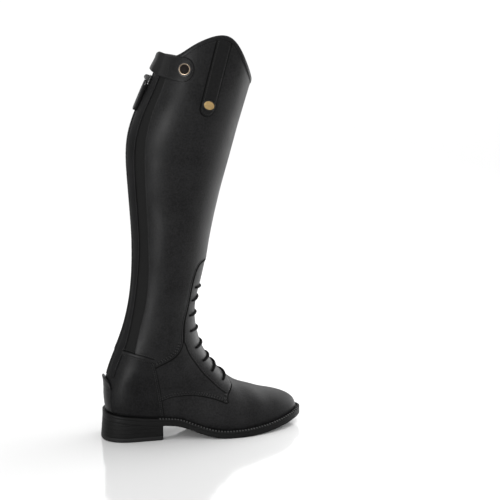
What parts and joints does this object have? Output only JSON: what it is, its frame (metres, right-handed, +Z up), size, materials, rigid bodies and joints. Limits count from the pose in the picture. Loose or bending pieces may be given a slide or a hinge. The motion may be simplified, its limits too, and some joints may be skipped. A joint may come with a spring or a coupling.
{
  "type": "lace-up tall boot",
  "caption": "Black leather tall riding boot for the right foot, laced at the instep, with a back zip, snap strap and spur rest",
  "frame": {"origin": "centre of the heel's flat tread, on the floor plane", "axes": "+X to the toe, +Y to the medial (inner) side of the right foot, +Z up the shaft"},
  "size_m": [0.2706, 0.11, 0.5308],
  "materials": {
    "calf_leather": "satin",
    "sole_leather": "matte",
    "rubber": "matte",
    "lining": "matte",
    "waxed_cord": "matte",
    "zip_tape": "matte",
    "dark_nickel": "satin",
    "antique_brass": "satin",
    "black_enamel": "gloss"
  },
  "bodies": {
    "boot": {"outsole": "sole_leather", "welt": "sole_leather", "heel_stack": "sole_leather", "heel_top_piece": "rubber", "insole": "lining", "upper": "calf_leather", "tongue": "calf_leather", "lace": "waxed_cord", "heel_strap": "calf_leather", "spur_rest": "calf_leather", "snap_strap": "calf_leather", "snap_ring": "antique_brass", "snap_cap": "black_enamel", "badge_strap": "calf_leather", "badge": "antique_brass", "zip_chain": "zip_tape", "zip_slider": "dark_nickel"},
    "zip_pull": {"zip_puller": "dark_nickel", "pull_tab": "calf_leather"}
  },
  "joints": [
    {"name": "zip_pull_swing", "type": "hinge", "parent": "boot", "child": "zip_pull", "pos_m": [0.03039, 0, 0.47646], "axis": [0, 1, 0], "range_deg": [0, 140]}
  ]
}
